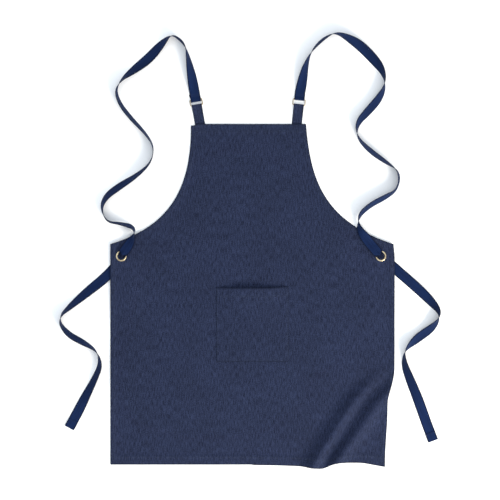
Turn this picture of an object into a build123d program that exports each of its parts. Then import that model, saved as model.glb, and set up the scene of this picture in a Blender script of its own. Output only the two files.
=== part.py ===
"""A denim bib apron with crossed-back webbing straps, laid out flat on a floor.

The body panel lies face up. A tab on each side of the bib holds a metal ring, a
webbing strap is sewn round each ring, lies in loose waves beside the bib, goes
down through an eyelet in the panel's side and comes out past the edge.

Frame: +Z up from the floor, +Y from the hem towards the bib, millimetres. The
origin is the middle, on the floor, of everything but the straps.
"""

import os
from math import cos, radians, sin, tan

from build123d import *

# ---- cloth -----------------------------------------------------------------
cloth = 0.8                     # one layer of denim
hem_layers = 2                  # layers folded under at every edge
thread = 0.3                    # how proud a line of stitching stands
thread_width = 0.8
stitch_margin = 2.0             # from the edge of a tab, loop or tail to its stitching

# ---- body panel ------------------------------------------------------------
panel_width = 686.0             # skirt, side to side
apron_length = 822.5            # bib edge to hem edge
bib_width = 278.0
bib_shift = -9.7                # the bib lies this far to the left of the skirt's middle
armhole_depth = 290.0           # bib edge down to the waist corner
bib_hem_depth = 20.0
bottom_hem_depth = 20.0
edge_hem_width = 9.0            # side and armhole hems
armhole_hem_end = 11.7          # below the waist corner, where the side hem takes over
stitch_inset = 7.0              # from an edge to its line of stitching
hem_stitch_inset = 2.0          # from a wide hem's inner fold to its stitching
armhole_flares = {"left": -2.0, "right": 10.0}     # outward lean where it leaves the bib
armhole_drops = {"left": 160.0, "right": 120.0}    # how far it runs on straight from there
armhole_reaches = {"left": 140.0, "right": 180.0}  # how straight it arrives at the waist
armhole_slope = 0.3                                # rise over run where it arrives

# ---- raised side borders, which leave room for the strap below them ---------
side_rise = 3.4
ramp_width = 46.0
level_border = 47.0             # width of the raised border, from the side edge
cut_spare = 10.0                # how far a cutting shape runs past what it cuts

# ---- pocket ----------------------------------------------------------------
pocket_width = 174.0
pocket_height = 181.0
pocket_drop = 392.5             # bib edge down to the pocket's mouth
pocket_margin = 7.0             # sewn flat round the sides and the bottom
pocket_hem_depth = 22.0
pocket_hem_foot = 2.4           # width on which each end of that hem stands
pocket_stitch_inset = 1.6       # from the pocket's edge to its line of stitching
mouth_gap = 7.0                 # how far the mouth stands open in the middle
pocket_foot_gap = 0.4           # how far it stands open at its bottom

# ---- tabs and rings --------------------------------------------------------
tab_width = 24.5
tab_reach = 45.5                # bib edge to the middle of the ring's lower bar
tab_sewn = 17.0                 # sewn down behind the bib's hem
bar_slack = 0.2                 # room round a ring's bar in the folds that hold it
tab_closed = 25.0               # where the two layers meet again
tab_clearance = 0.3
ring_play = 2.0                 # how much wider a ring is inside than its strap
ring_height = 17.0
ring_wire = 2.5
ring_corner = 3.0
tab_roots = {"left": -126.8, "right": 107.0}
tab_leans = {"left": -9.8, "right": 5.9}       # degrees, positive leans to the right

# ---- straps ----------------------------------------------------------------
strap_width = 25.0
strap_thick = 1.3
bunched_width = 12.0            # where it goes through an eyelet
bunch_reach = 18.0              # how far from the eyelet it is back to full width
loop_closing = 2.2              # the loop's layers meet this many fold radii from the bar
loop_fold_end = 14.0            # ring's upper bar to the end of the folded layer
loop_end = 20.0                 # and to the end of the loop
tail_hem_depth = 20.0
tail_turn_in = 1.0              # the tail's fold stops short of the strap's end
corner_share = 0.45             # of the shorter run beside a corner, taken by its arc

# ---- eyelets ---------------------------------------------------------------
eyelet_insets = {"left": 26.5, "right": 33.3}    # from the side edge
eyelet_drop = 29.0              # below the waist corner
eyelet_outer = 26.0
eyelet_bore = 18.0
eyelet_wall = 0.5
eyelet_crown = 1.1              # height of the flange above the cloth
eyelet_lip = 1.75               # width of the lip rolled out below the washer
crown_shift = 0.5               # the crown is highest this far inside the flange's middle
washer_outer = 25.0
washer_thick = 0.5
barrel_clearance = 0.15

# ---- derived places --------------------------------------------------------
bar_gap = ring_height - ring_wire                        # lower bar to upper bar
ring_width = strap_width + 2 * ring_wire + ring_play     # outside
fold_radius = ring_wire / 2 + bar_slack + strap_thick    # outside of the folds round the bars
loop_sewn_from = loop_closing * fold_radius
stack = hem_layers * cloth                               # hems lie below the panel
panel_top = stack + cloth
border_top = panel_top + side_rise


def ring_top(lean):
    """Height above the bib edge of the highest point of a ring that leans."""
    rise = (tab_reach + bar_gap - ring_corner) * cos(radians(lean))
    swing = (ring_width / 2 - ring_wire / 2 - ring_corner) * abs(sin(radians(lean)))
    return rise + swing + ring_corner + ring_wire / 2


hardware_rise = max(ring_top(lean) for lean in tab_leans.values())
hem_y = -(apron_length + hardware_rise) / 2
bib_y = hem_y + apron_length
waist_y = bib_y - armhole_depth
side_x = panel_width / 2
bib_left = bib_shift - bib_width / 2
bib_right = bib_shift + bib_width / 2
flare_spare = max(armhole_flares.values()) + cut_spare
eyelet_y = waist_y - eyelet_drop
side_hem_top = waist_y - armhole_hem_end
sides = {"left": -1, "right": 1}
eyelet_x = {side: sign * (side_x - eyelet_insets[side]) for side, sign in sides.items()}

os.makedirs("parts", exist_ok=True)


def save(part, name):
    part.label = name
    export_step(part, f"parts/{name}.step")


# ---- shapes that several pieces share --------------------------------------
def cloth_layer(underside, thickness, mode=Mode.ADD):
    """A layer that is level over the middle and climbs to the raised side borders."""
    far = side_x + cut_spare
    border = side_x - level_border
    level = border - ramp_width
    upper = underside + thickness
    with BuildSketch(Plane.XZ) as profile:
        with BuildLine():
            Polyline(
                (-far, underside + side_rise),
                (-border, underside + side_rise),
                (-level, underside),
                (level, underside),
                (border, underside + side_rise),
                (far, underside + side_rise),
                (far, upper + side_rise),
                (border, upper + side_rise),
                (level, upper),
                (-level, upper),
                (-border, upper + side_rise),
                (-far, upper + side_rise),
                close=True,
            )
        make_face()
    extrude(profile.sketch, amount=apron_length, both=True, mode=mode)


def armhole_curve(side, inset):
    """The four points that shape an armhole, moved square to the edge by the inset."""
    sign = sides[side]
    bib_x = bib_right if side == "right" else bib_left
    reach = armhole_reaches[side]
    legs = [
        Vector(bib_x, bib_y),
        Vector(bib_x + sign * armhole_flares[side], bib_y - armhole_drops[side]),
        Vector(sign * (side_x - reach), waist_y + armhole_slope * reach),
        Vector(sign * side_x, waist_y),
    ]
    inward = [
        (after - before).normalized().rotate(Axis.Z, sign * -90) * inset
        for before, after in zip(legs, legs[1:])
    ]
    elbows = []
    for index in (1, 2):
        middle = (inward[index - 1] + inward[index]) / 2
        stretch = inset**2 / middle.length**2 if inset else 0
        elbows.append(legs[index] + middle * stretch)
    return [legs[0] + inward[0], *elbows, legs[3] + inward[2]]


def apron_outline(inset=0):
    """The cut outline, or the same outline with a strip taken off sides and armholes."""
    left = armhole_curve("left", inset)
    right = armhole_curve("right", inset)
    with BuildLine() as edges:
        Line(right[0], left[0])
        Bezier(*left)
        Polyline(left[3], (-side_x, hem_y), (side_x, hem_y), right[3])
        Bezier(*reversed(right))
    make_face(edges.edges())
    if inset:
        window(-side_x + inset, side_x - inset, hem_y, bib_y + inset, Mode.INTERSECT)


def window(x_from, x_to, y_from, y_to, mode):
    """A plain rectangle between these limits."""
    with Locations(((x_from + x_to) / 2, (y_from + y_to) / 2)):
        Rectangle(x_to - x_from, y_to - y_from, mode=mode)


def edge_strip(inset, width, limits, underside, thickness):
    """A strip that follows the outline, cut to a window, as a layer of cloth or thread."""
    cloth_layer(underside, thickness)
    with BuildSketch(Plane.XY) as strip:
        apron_outline(inset)
        with BuildSketch(mode=Mode.SUBTRACT):
            apron_outline(inset + width)
        window(*limits, mode=Mode.INTERSECT)
    extrude(strip.sketch, amount=border_top + cut_spare, mode=Mode.INTERSECT)


def tab_frame(side, along, height=0.0):
    """Plane across a tab: x runs along the tab away from the bib, y runs up."""
    lean = radians(tab_leans[side])
    ahead = Vector(sin(lean), cos(lean), 0)
    root = Vector(tab_roots[side], bib_y, height)
    across = ahead.cross(Vector(0, 0, 1))
    return Plane(origin=root + ahead * along, x_dir=ahead, z_dir=across)


# ---- body panel and its hems -----------------------------------------------
with BuildPart() as body_panel:
    cloth_layer(stack, cloth)
    with BuildSketch(Plane.XY):
        apron_outline()
        with Locations((eyelet_x["left"], eyelet_y), (eyelet_x["right"], eyelet_y)):
            Circle(eyelet_bore / 2 + eyelet_wall + barrel_clearance, mode=Mode.SUBTRACT)
    extrude(amount=border_top + cut_spare, mode=Mode.INTERSECT)
save(body_panel.part, "body_panel")

with BuildPart() as bottom_hem:
    cloth_layer(0, stack)
    with BuildSketch(Plane.XY):
        window(-side_x, side_x, hem_y, hem_y + bottom_hem_depth, mode=Mode.ADD)
    extrude(amount=border_top, mode=Mode.INTERSECT)
save(bottom_hem.part, "bottom_hem")

with BuildPart() as bib_hem:
    with BuildSketch(Plane.XY):
        apron_outline()
        window(bib_left - flare_spare, bib_right + flare_spare, bib_y - bib_hem_depth, bib_y, Mode.INTERSECT)
    extrude(amount=stack)
    for side in sides:
        lean = radians(tab_leans[side])
        middle = -tab_sewn / 2
        slot = (tab_roots[side] + sin(lean) * middle, bib_y + cos(lean) * middle)
        with BuildSketch(Plane.XY):
            with Locations(Location(slot, -tab_leans[side])):
                Rectangle(
                    tab_width + 2 * tab_clearance,
                    tab_sewn + 2 * tab_clearance + tab_width * abs(sin(lean)),
                )
        extrude(amount=cloth, mode=Mode.SUBTRACT)
save(bib_hem.part, "bib_hem")

for side, sign in sides.items():
    armhole = (min(0, sign * side_x), max(0, sign * side_x), side_hem_top, bib_y - bib_hem_depth)
    border = (min(0, sign * side_x), max(0, sign * side_x), hem_y + bottom_hem_depth, side_hem_top)
    with BuildPart() as armhole_hem:
        edge_strip(0, edge_hem_width, armhole, 0, stack)
    save(armhole_hem.part, f"{side}_armhole_hem")

    with BuildPart() as side_hem:
        edge_strip(0, edge_hem_width, border, 0, stack)
    save(side_hem.part, f"{side}_side_hem")

    with BuildPart() as armhole_stitching:
        edge_strip(stitch_inset, thread_width, armhole, panel_top, thread)
    save(armhole_stitching.part, f"{side}_armhole_stitching")

    with BuildPart() as side_stitching:
        edge_strip(stitch_inset, thread_width, border, panel_top, thread)
    save(side_stitching.part, f"{side}_side_stitching")

bottom_line = hem_y + bottom_hem_depth - hem_stitch_inset
with BuildPart() as bottom_stitching:
    cloth_layer(panel_top, thread)
    with BuildSketch(Plane.XY):
        window(-side_x, side_x, bottom_line - thread_width, bottom_line, mode=Mode.ADD)
    extrude(amount=border_top + cut_spare, mode=Mode.INTERSECT)
save(bottom_stitching.part, "bottom_hem_stitching")

bib_line = bib_y - bib_hem_depth + hem_stitch_inset
with BuildPart() as bib_stitching:
    with BuildSketch(Plane.XY.offset(panel_top)):
        apron_outline()
        window(
            bib_left - flare_spare, bib_right + flare_spare, bib_line, bib_line + thread_width,
            mode=Mode.INTERSECT,
        )
    extrude(amount=thread)
save(bib_stitching.part, "bib_hem_stitching")

# ---- pocket ----------------------------------------------------------------
pocket_top = bib_y - pocket_drop
pocket_foot = pocket_top - pocket_height
arch_width = pocket_width - 2 * pocket_margin
arch_foot = pocket_foot + pocket_margin


def pocket_arch(top_rise, foot_rise, y_from, y_to, width, mode):
    """A shallow vault standing on the panel, high at the mouth and low at the foot."""
    ends = []
    for y in (y_from, y_to):
        share = (y - arch_foot) / (pocket_top - arch_foot)
        rise = foot_rise + (top_rise - foot_rise) * share
        with BuildSketch(Plane.XZ.offset(-y)) as end:
            with BuildLine():
                Line((width / 2, panel_top), (-width / 2, panel_top))
                ThreePointArc(
                    (-width / 2, panel_top), (0, panel_top + rise), (width / 2, panel_top)
                )
            make_face()
        ends.append(end.sketch.face())
    loft(ends, mode=mode)


hem_inner = pocket_top - pocket_hem_depth
with BuildPart() as pocket:
    with BuildSketch(Plane.XY.offset(panel_top)):
        window(-pocket_width / 2, pocket_width / 2, pocket_foot, pocket_top, mode=Mode.ADD)
    extrude(amount=cloth)
    pocket_arch(
        mouth_gap + 2 * cloth, pocket_foot_gap + 2 * cloth, arch_foot, pocket_top,
        arch_width, Mode.ADD,
    )
    pocket_arch(
        mouth_gap + cloth, pocket_foot_gap + cloth, arch_foot, pocket_top,
        arch_width - 2 * cloth, Mode.SUBTRACT,
    )
save(pocket.part, "pocket")

with BuildPart() as pocket_hem:
    pocket_arch(
        mouth_gap + cloth, pocket_foot_gap + cloth, hem_inner, pocket_top,
        arch_width - 2 * cloth, Mode.ADD,
    )
    pocket_arch(
        mouth_gap, pocket_foot_gap, hem_inner, pocket_top,
        arch_width - 2 * cloth - 2 * pocket_hem_foot, Mode.SUBTRACT,
    )
save(pocket_hem.part, "pocket_hem")

with BuildPart() as pocket_stitching:
    with BuildSketch(Plane.XY.offset(panel_top + cloth)):
        half = pocket_width / 2 - pocket_stitch_inset
        foot = pocket_foot + pocket_stitch_inset
        window(-half, half, foot, pocket_top, mode=Mode.ADD)
        window(
            -half + thread_width, half - thread_width, foot + thread_width, pocket_top,
            mode=Mode.SUBTRACT,
        )
    extrude(amount=thread)
save(pocket_stitching.part, "pocket_stitching")

# ---- tabs, rings and the straps' sewn loops ---------------------------------
bar_z = fold_radius                      # the rings lie with their bars this high
tab_inner = fold_radius - cloth
loop_inner = fold_radius - strap_thick
fold_top = 2 * fold_radius

for side in sides:
    upper_from = tab_clearance + tab_width / 2 * tan(radians(abs(tab_leans[side])))
    with BuildPart() as tab:
        with BuildSketch(tab_frame(side, 0)):
            with BuildLine():
                Line((-tab_sewn, 0), (tab_reach, 0))
                ThreePointArc(
                    (tab_reach, 0), (tab_reach + fold_radius, bar_z), (tab_reach, fold_top)
                )
                Polyline(
                    (tab_reach, fold_top),
                    (tab_closed, stack),
                    (upper_from, stack),
                    (upper_from, cloth),
                    (-tab_sewn, cloth),
                    (-tab_sewn, 0),
                )
            make_face()
            with BuildLine():
                Line((tab_closed, cloth), (tab_reach, cloth))
                ThreePointArc(
                    (tab_reach, cloth),
                    (tab_reach + tab_inner, bar_z),
                    (tab_reach, fold_top - cloth),
                )
                Line((tab_reach, fold_top - cloth), (tab_closed, cloth))
            make_face(mode=Mode.SUBTRACT)
        extrude(amount=tab_width / 2, both=True)
    save(tab.part, f"{side}_tab")

    bar_half = (ring_width - ring_wire) / 2
    upper = tab_reach + bar_gap
    middle = tab_frame(side, 0)
    ring_plane = Plane(origin=middle.origin, x_dir=middle.z_dir, z_dir=(0, 0, -1)).offset(-bar_z)
    with BuildPart() as ring:
        with BuildLine(ring_plane) as rim:
            FilletPolyline(
                (-bar_half, -tab_reach),
                (-bar_half, -upper),
                (bar_half, -upper),
                (bar_half, -tab_reach),
                radius=ring_corner,
                close=True,
            )
        with BuildSketch(Plane(origin=rim.line @ 0, z_dir=rim.line % 0)):
            Circle(ring_wire / 2)
        sweep()
    save(ring.part, f"{side}_ring")

    with BuildPart() as strap_loop:
        with BuildSketch(tab_frame(side, upper)):
            with BuildLine():
                Polyline(
                    (0, 0),
                    (loop_fold_end, 0),
                    (loop_fold_end, strap_thick),
                    (loop_end, strap_thick),
                    (loop_end, 2 * strap_thick),
                    (loop_sewn_from, 2 * strap_thick),
                    (0, fold_top),
                )
                ThreePointArc((0, fold_top), (-fold_radius, bar_z), (0, 0))
            make_face()
            with BuildLine():
                Polyline((0, fold_top - strap_thick), (loop_sewn_from, strap_thick), (0, strap_thick))
                ThreePointArc((0, strap_thick), (-loop_inner, bar_z), (0, fold_top - strap_thick))
            make_face(mode=Mode.SUBTRACT)
        extrude(amount=strap_width / 2, both=True)
    save(strap_loop.part, f"{side}_strap_loop")

    with BuildPart() as loop_stitching:
        for along in (loop_sewn_from + stitch_margin, loop_fold_end - stitch_margin):
            with BuildSketch(tab_frame(side, upper + along)):
                with Locations((0, 2 * strap_thick + thread / 2)):
                    Rectangle(thread_width, thread)
            extrude(amount=strap_width / 2 - stitch_margin, both=True)
    save(loop_stitching.part, f"{side}_loop_stitching")

    with BuildPart() as tab_stitching:
        with BuildSketch(tab_frame(side, tab_closed - stitch_margin)):
            with Locations((0, stack + thread / 2)):
                Rectangle(thread_width, thread)
        extrude(amount=tab_width / 2 - stitch_margin, both=True)
    save(tab_stitching.part, f"{side}_tab_stitching")

# ---- eyelets ---------------------------------------------------------------
underside = stack + side_rise
bore = eyelet_bore / 2
washer_low = underside - washer_thick
lip_low = washer_low - eyelet_wall

for side in sides:
    upright = Plane(origin=(eyelet_x[side], eyelet_y, 0), x_dir=(1, 0, 0), z_dir=(0, -1, 0))
    axis = Axis((eyelet_x[side], eyelet_y, 0), (0, 0, 1))
    with BuildPart() as eyelet_grommet:
        with BuildSketch(upright):
            with BuildLine():
                Polyline(
                    (eyelet_outer / 2, border_top),
                    (bore + eyelet_wall, border_top),
                    (bore + eyelet_wall, washer_low),
                    (bore + eyelet_lip, washer_low),
                    (bore + eyelet_lip, lip_low),
                    (bore, lip_low),
                    (bore, border_top + eyelet_wall),
                )
                ThreePointArc(
                    (bore, border_top + eyelet_wall),
                    ((bore + eyelet_outer / 2) / 2 - crown_shift, border_top + eyelet_crown),
                    (eyelet_outer / 2, border_top),
                )
            make_face()
        revolve(axis=axis)
    save(eyelet_grommet.part, f"{side}_eyelet_grommet")

    with BuildPart() as eyelet_washer:
        with BuildSketch(Plane.XY.offset(washer_low)):
            with Locations((eyelet_x[side], eyelet_y)):
                Circle(washer_outer / 2)
                Circle(bore + eyelet_wall + barrel_clearance, mode=Mode.SUBTRACT)
        extrude(amount=washer_thick)
    save(eyelet_washer.part, f"{side}_eyelet_washer")

# ---- straps ----------------------------------------------------------------
# Each point is x, y, roll in degrees (0 lies flat, 90 stands on edge) and lift,
# how far the lower edge is held above the floor.
left_route = [
    (-141, 461, 0, 1.3), (-145, 486, 22, 0.5), (-151, 518, 50, 0), (-156, 544, 72, 0),
    (-161, 566, 93, 0), (-174, 582, 99, 0), (-195, 595, 86, 0), (-219, 572, 36, 0),
    (-251, 537, 6, 0), (-290, 506, 38, 0), (-316, 485, 72, 0), (-330, 460, 97, 0),
    (-320, 428, 109, 0), (-293, 393, 113, 0), (-260, 359, 105, 0), (-237, 326, 92, 0),
    (-243, 287, 79, 0), (-278, 255, 62, 0), (-321, 229, 42, 0), (-354, 204, 50, 0),
    (-365, 175, 74, 0), (-351, 143, 96, 0), (-318, 140, 106, 1), (-286, 131, 118, 5),
    (-286, 109, 82, 7.5), (-301, 88, 6, 8.5), (-312.5, 69, 0, 10.5), (-319.5, 55, 0, 0),
    (-333, 32, 0, 0), (-360, 5, 6, 0), (-390, -19, 20, 0), (-432, -54, 48, 0),
    (-470, -89, 84, 0), (-447, -126, 118, 0), (-408, -147, 120, 0), (-374, -167, 88, 0),
    (-365, -200, 58, 0), (-380, -235, 50, 0), (-401, -275, 30, 0), (-422, -316, 0, 0),
    (-442, -353, 0, 0),
]
right_route = [
    (116, 462, 0, 1.3), (121, 488, 26, 0.5), (127, 516, 54, 0), (136, 542, 82, 0),
    (151, 565, 106, 0), (173, 586, 110, 0), (199, 600, 94, 0), (229, 588, 60, 0),
    (260, 569, 20, 0), (291, 538, 20, 0), (314, 508, 62, 0), (321, 475, 98, 0),
    (306, 442, 138, 0), (281, 413, 142, 0), (251, 381, 120, 0), (251, 347, 86, 0),
    (283, 314, 66, 0), (323, 286, 74, 0), (355, 264, 110, 0), (350, 221, 98, 0),
    (318, 202, 120, 0), (283, 184, 119, 1), (254, 158, 101, 5), (255, 128, 80, 7.5),
    (279, 96, 6, 8.5), (302.7, 68, 0, 10.5), (313.7, 57, 0, 0), (332, 42, 0, 0),
    (361, 16, 4, 0), (390, -9, 8, 0), (428, -45, 30, 0), (455, -78, 80, 0),
    (436, -110, 144, 0), (400, -135, 160, 0), (366, -164, 104, 0), (365, -198, 58, 0),
    (380, -237, 34, 0), (397, -278, 20, 0), (411, -316, 0, 0), (423, -350, 0, 0),
    (436, -384, 0, 0),
]
routes = {"left": left_route, "right": right_route}


def corner_radii(points):
    """The largest arcs that each corner's two runs leave room for."""
    radii = []
    for before, corner, after in zip(points, points[1:], points[2:]):
        coming = Vector(corner) - Vector(before)
        going = Vector(after) - Vector(corner)
        half_turn = radians(coming.get_angle(going)) / 2
        radii.append(corner_share * min(coming.length, going.length) / tan(half_turn))
    return radii


def along_route(path, points):
    """Places along the path: the point, its heading and how far down the route it is."""
    places = []
    for index, edge in enumerate(path.order_edges()):
        corner = (index + 1) // 2
        shares = (0, 0.25, 0.5, 0.75) if index % 2 else (0,)
        for share in shares:
            run = corner if not index % 2 or share >= 0.5 else corner - 1
            start = Vector(points[run])
            step = Vector(points[run + 1]) - start
            progress = (edge @ share - start).dot(step) / step.length**2
            places.append((edge @ share, edge % share, run + max(0.0, progress)))
    places.append((path @ 1, path % 1, len(points) - 1))
    return places


def between(values, progress):
    """A value part of the way between two of the route's points."""
    low = min(int(progress), len(values) - 2)
    share = progress - low
    return values[low] * (1 - share) + values[low + 1] * share


def strap_sections(side, route):
    """Section planes and widths of a strap, with its lower edge on what it lies on."""
    plan = [point[:2] for point in route]
    path = FilletPolyline(*plan, radius=corner_radii(plan))
    eyelet = Vector(eyelet_x[side], eyelet_y, 0)
    stations = []
    for place, heading, progress in along_route(path, plan):
        roll = radians(between([point[2] for point in route], progress))
        lift = between([point[3] for point in route], progress)
        away = max(0.0, (place - eyelet).length - eyelet_outer / 2)
        width = min(strap_width, bunched_width + away * (strap_width - bunched_width) / bunch_reach)
        thick = strap_width * strap_thick / width
        rest = (width * abs(sin(roll)) + thick * abs(cos(roll))) / 2
        centre = Vector(place.X, place.Y, rest + lift)
        stations.append((centre, heading, roll, width, thick))
    sections = []
    for index, (centre, heading, roll, width, thick) in enumerate(stations):
        before = stations[max(0, index - 1)][0]
        after = stations[min(len(stations) - 1, index + 1)][0]
        ahead = (after - before).normalized()
        across = Vector(-heading.Y, heading.X, 0).normalized()
        upward = ahead.cross(across)
        if upward.Z < 0:
            upward = -upward
        broad = across * cos(roll) + upward * sin(roll)
        sections.append((Plane(origin=centre, x_dir=broad, z_dir=ahead), width, thick))
    return path, sections


for side, route in routes.items():
    path, sections = strap_sections(side, route)
    with BuildPart() as strap:
        for plane, width, thick in sections:
            with BuildSketch(plane):
                Rectangle(width, thick)
        loft(ruled=True)
    save(strap.part, f"{side}_strap")

    length = sum(
        (after[0].origin - before[0].origin).length
        for before, after in zip(sections, sections[1:])
    )
    radii = corner_radii([point[:2] for point in route])
    print(f"{side} strap: centre line {length:.0f} mm, tightest radii {sorted(radii)[:4]}")
    print(f"  volume {strap.part.volume:.0f}, section x length {strap_width * strap_thick * length:.0f}")

    tail = sections[-1][0]
    fold_middle = tail.origin - tail.z_dir * (tail_turn_in + tail_hem_depth / 2)
    flat = Plane(origin=(fold_middle.X, fold_middle.Y, strap_thick), x_dir=tail.z_dir, z_dir=(0, 0, 1))
    with BuildPart() as tail_hem:
        with BuildSketch(flat):
            Rectangle(tail_hem_depth, strap_width)
        extrude(amount=strap_thick)
    save(tail_hem.part, f"{side}_tail_hem")

    with BuildPart() as tail_stitching:
        with BuildSketch(flat.offset(strap_thick)):
            with Locations((stitch_margin - tail_hem_depth / 2, 0)):
                Rectangle(thread_width, strap_width - 2 * stitch_margin)
        extrude(amount=thread)
    save(tail_stitching.part, f"{side}_tail_stitching")
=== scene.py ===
# %% [markdown]
# # A denim bib apron, laid out flat
# The real apron is one cut of indigo denim with hems folded under, a patch pocket, two
# tabs that hold metal rings, and two webbing straps that run from the rings, down
# through eyelets at the waist, and out past the sides. It lies face up on a floor.
#
# The measured model comes in first and stays where it is. Every soft piece is then made
# again in its own place with a real drape, and all but the first stretch of each strap
# rides on the body that carries it.

# %% Load the frame
from math import cos, pi, radians, sin

import bpy
import numpy as np
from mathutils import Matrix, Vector


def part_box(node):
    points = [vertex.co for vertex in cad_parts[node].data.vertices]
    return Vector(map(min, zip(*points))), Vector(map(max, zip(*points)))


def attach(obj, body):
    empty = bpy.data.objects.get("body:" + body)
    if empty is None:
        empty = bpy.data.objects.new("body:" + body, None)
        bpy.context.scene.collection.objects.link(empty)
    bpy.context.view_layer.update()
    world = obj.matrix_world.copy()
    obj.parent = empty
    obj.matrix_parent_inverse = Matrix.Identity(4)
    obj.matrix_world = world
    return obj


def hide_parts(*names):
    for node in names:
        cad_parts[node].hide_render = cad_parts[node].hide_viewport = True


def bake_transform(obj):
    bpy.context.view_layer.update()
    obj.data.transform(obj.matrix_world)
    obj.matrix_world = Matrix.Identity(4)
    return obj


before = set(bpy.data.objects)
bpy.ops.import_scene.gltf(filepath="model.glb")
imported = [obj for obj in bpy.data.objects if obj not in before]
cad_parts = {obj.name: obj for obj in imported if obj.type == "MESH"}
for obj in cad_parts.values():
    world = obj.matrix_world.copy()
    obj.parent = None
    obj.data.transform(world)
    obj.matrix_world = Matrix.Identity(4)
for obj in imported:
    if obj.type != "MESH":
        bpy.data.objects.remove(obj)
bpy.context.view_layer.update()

# %% [markdown]
# ## Sizes
# Blender works in metres. The outline's limits are read from the frame, so that they
# can't drift from it. The rest are the sizes that the pieces were cut to.

# %% Sizes of the cloth, its hems and its outline
MM = 0.001
panel_low, panel_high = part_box("body_panel")
side_x, hem_y, bib_y = panel_high.x, panel_low.y, panel_high.y
waist_y = bib_y - 290 * MM
cloth = 0.8 * MM
hem_stack = 2 * cloth
narrow_hem, wide_hem = 9 * MM, 20 * MM
narrow_seam, wide_seam = 7.4 * MM, 17.6 * MM
bib_corner = {"left": -148.7 * MM, "right": 129.3 * MM}
armhole_flare = {"left": -2 * MM, "right": 10 * MM}
armhole_drop = {"left": 160 * MM, "right": 120 * MM}
armhole_reach = {"left": 140 * MM, "right": 180 * MM}
armhole_slope = 0.3
armhole_count = 400             # points along an armhole, close enough to measure on
sides = {"left": -1, "right": 1}
print(f"apron {2 * side_x:.3f} m wide and {bib_y - hem_y:.3f} m long")

# %% [markdown]
# ## A few shorthands
# A mesh is points, faces and what its material needs to know: a UV map in metres,
# shifted by half a metre so that it stays positive, and numbers such as the distance to
# the cloth's edge. One helper makes them all, so that every piece is made the same way.

# %% Make a mesh piece
def smoothstep(value, low, high):
    """0 below low, 1 above high, and an easy curve between them."""
    share = np.clip((value - low) / (high - low), 0, 1)
    return share * share * (3 - 2 * share)


def make_piece(name, points, faces, uv, material, slot, sharp=60, **attributes):
    """A smooth mesh with its cloth UV map, its attributes and its material. Its slot is not used.
    """
    mesh = bpy.data.meshes.new(name)
    mesh.from_pydata(np.asarray(points).tolist(), [], [list(face) for face in faces])
    layer = mesh.uv_layers.new(name="cloth")
    corner = np.empty(len(mesh.loops), dtype=np.int64)
    mesh.loops.foreach_get("vertex_index", corner)
    layer.data.foreach_set("uv", np.asarray(uv, dtype=np.float32)[corner].ravel())
    for key, values in attributes.items():
        mesh.attributes.new(key, "FLOAT", "POINT").data.foreach_set(
            "value", np.asarray(values, dtype=np.float32)
        )
    mesh.polygons.foreach_set("use_smooth", np.ones(len(mesh.polygons), dtype=bool))
    mesh.set_sharp_from_angle(angle=radians(sharp))
    mesh.materials.append(material)
    piece = bpy.data.objects.new(name, mesh)
    bpy.context.scene.collection.objects.link(piece)
    print(f"{name}: {len(mesh.polygons)} faces")
    return piece


# %% Add a shader node in one line
def add(tree, kind, inputs=None, out=0, **settings):
    """A node whose inputs are numbers or other nodes' outputs. Returns one output."""
    made = tree.nodes.new(kind)
    for key, value in settings.items():
        setattr(made, key, value)
    for key, value in (inputs or {}).items():
        if isinstance(value, bpy.types.NodeSocket):
            tree.links.new(value, made.inputs[key])
        else:
            made.inputs[key].default_value = value
    return made.outputs[out]


def math(tree, operation, first, second=0.0):
    return add(tree, "ShaderNodeMath", {0: first, 1: second}, operation=operation)


def weighted(tree, *terms):
    """The sum of some outputs, each times its own number."""
    parts = [math(tree, "MULTIPLY", output, weight) for output, weight in terms]
    total = parts[0]
    for part in parts[1:]:
        total = math(tree, "ADD", total, part)
    return total


def blend_range(tree, value, low, high, start, end):
    """Start up to low, end from high on, and an easy curve between them."""
    return add(
        tree,
        "ShaderNodeMapRange",
        {0: value, 1: low, 2: high, 3: start, 4: end},
        interpolation_type="SMOOTHSTEP",
    )


def mix(tree, share, first, second, blend="MIX"):
    """Two colours mixed by a share from 0 to 1."""
    inputs = {"Factor": share, 6: first, 7: second}
    return add(tree, "ShaderNodeMix", inputs, out=2, data_type="RGBA", blend_type=blend)


def stored(tree, name):
    """A number that the mesh holds at each point."""
    return add(tree, "ShaderNodeAttribute", out="Fac", attribute_name=name)


def noise(tree, vector, scale, detail=3.0, roughness=0.5):
    """Fractal noise from 0 to 1, mostly near a half."""
    inputs = {"Vector": vector, "Scale": scale, "Detail": detail, "Roughness": roughness}
    return add(tree, "ShaderNodeTexNoise", inputs)


def new_material(name, **surface):
    """A material with its Principled shader's plain values set on the shader's sockets."""
    material = bpy.data.materials.new(name)
    material.use_nodes = True
    shader = material.node_tree.nodes["Principled BSDF"]
    for key, value in surface.items():
        shader.inputs[key.replace("_", " ")].default_value = value
    return material, material.node_tree, shader


def stretched(tree, across, along):
    """The cloth's own coordinates in millimetres, squeezed by these two factors."""
    cloth_map = add(tree, "ShaderNodeUVMap", uv_map="cloth")
    scale = (1000 * across, 1000 * along, 1)
    return add(
        tree, "ShaderNodeVectorMath", {0: cloth_map, 1: scale}, operation="MULTIPLY"
    )


# %% [markdown]
# ## Denim
# Denim is a twill. Indigo warp yarns run up the cloth and cover most of the white weft,
# which shows only as fine flecks between the diagonal ribs. The yarns take the dye
# unevenly, so that long soft streaks run up and down. Hems and stitched lines pucker,
# and the crests rub paler there. All of this is worked out from the cloth's own
# coordinates, so the pattern follows the cloth over its folds.

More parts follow.
